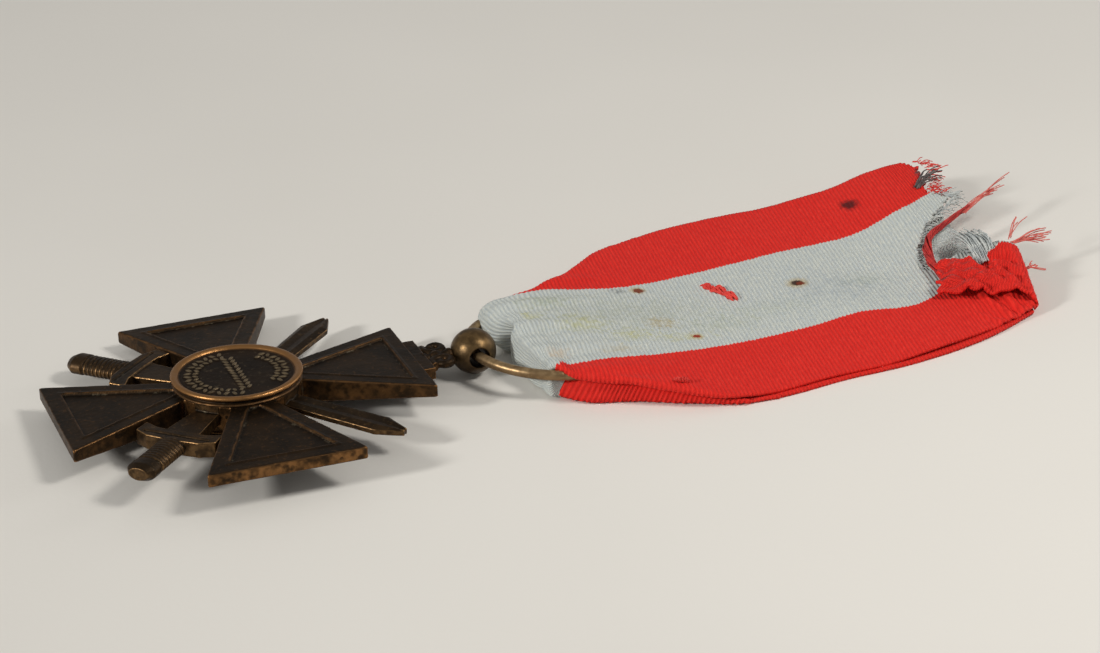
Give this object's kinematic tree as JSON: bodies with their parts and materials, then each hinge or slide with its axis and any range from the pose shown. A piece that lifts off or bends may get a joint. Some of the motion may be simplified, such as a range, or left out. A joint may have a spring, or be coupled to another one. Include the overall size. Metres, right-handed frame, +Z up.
{
  "type": "award medal on a ribbon",
  "caption": "Patinated bronze cross with crossed swords and a round centre disc, hung by a ball and ring from a folded striped ribbon.",
  "frame": {"origin": "On the table under the middle of the whole medal as it lies, at the middle of its box's underside", "axes": "+X from the cross to the ribbon's free end, +Z up from the table through the face that shows, +Y across the ribbon. The cross leans 3.7 degrees about X"},
  "size_m": [0.1049, 0.0419, 0.0055],
  "materials": {
    "patinated_bronze": "satin",
    "rubbed_bronze": "satin",
    "striped_ribbon": "matte",
    "red_thread": "matte"
  },
  "bodies": {
    "cross": {"cross_plate": "patinated_bronze", "sword_left": "patinated_bronze", "sword_right": "patinated_bronze", "reverse_medallion": "patinated_bronze", "obverse_medallion": "patinated_bronze", "scroll_hanger": "patinated_bronze", "suspension_ball": "rubbed_bronze"},
    "ring": {"suspension_ring": "rubbed_bronze"},
    "ribbon_loop": {"ribbon_fold": "striped_ribbon", "ribbon_bend_upper": "striped_ribbon", "ribbon_bend_lower": "striped_ribbon"},
    "ribbon_tail": {"ribbon_tail_upper": "striped_ribbon", "ribbon_tail_lower": "striped_ribbon", "ribbon_torn_end": "striped_ribbon", "tack_stitch": "red_thread"}
  },
  "joints": [
    {"name": "ring_swing", "type": "hinge", "parent": "cross", "child": "ring", "pos_m": [-0.00915, -0.00245, 0.00266], "axis": [0, 0.9979, -0.0649], "range_deg": [-100, 100]},
    {"name": "ribbon_slack", "type": "slide", "parent": "ring", "child": "ribbon_loop", "axis": [1, 0, 0], "range_m": [0, 0.005]},
    {"name": "ribbon_bend", "type": "hinge", "parent": "ribbon_loop", "child": "ribbon_tail", "pos_m": [0.01595, -0.00115, 0.0009], "axis": [0, 1, 0], "range_deg": [-75, 75], "deforming": ["ribbon_bend_upper", "ribbon_bend_lower"]}
  ]
}
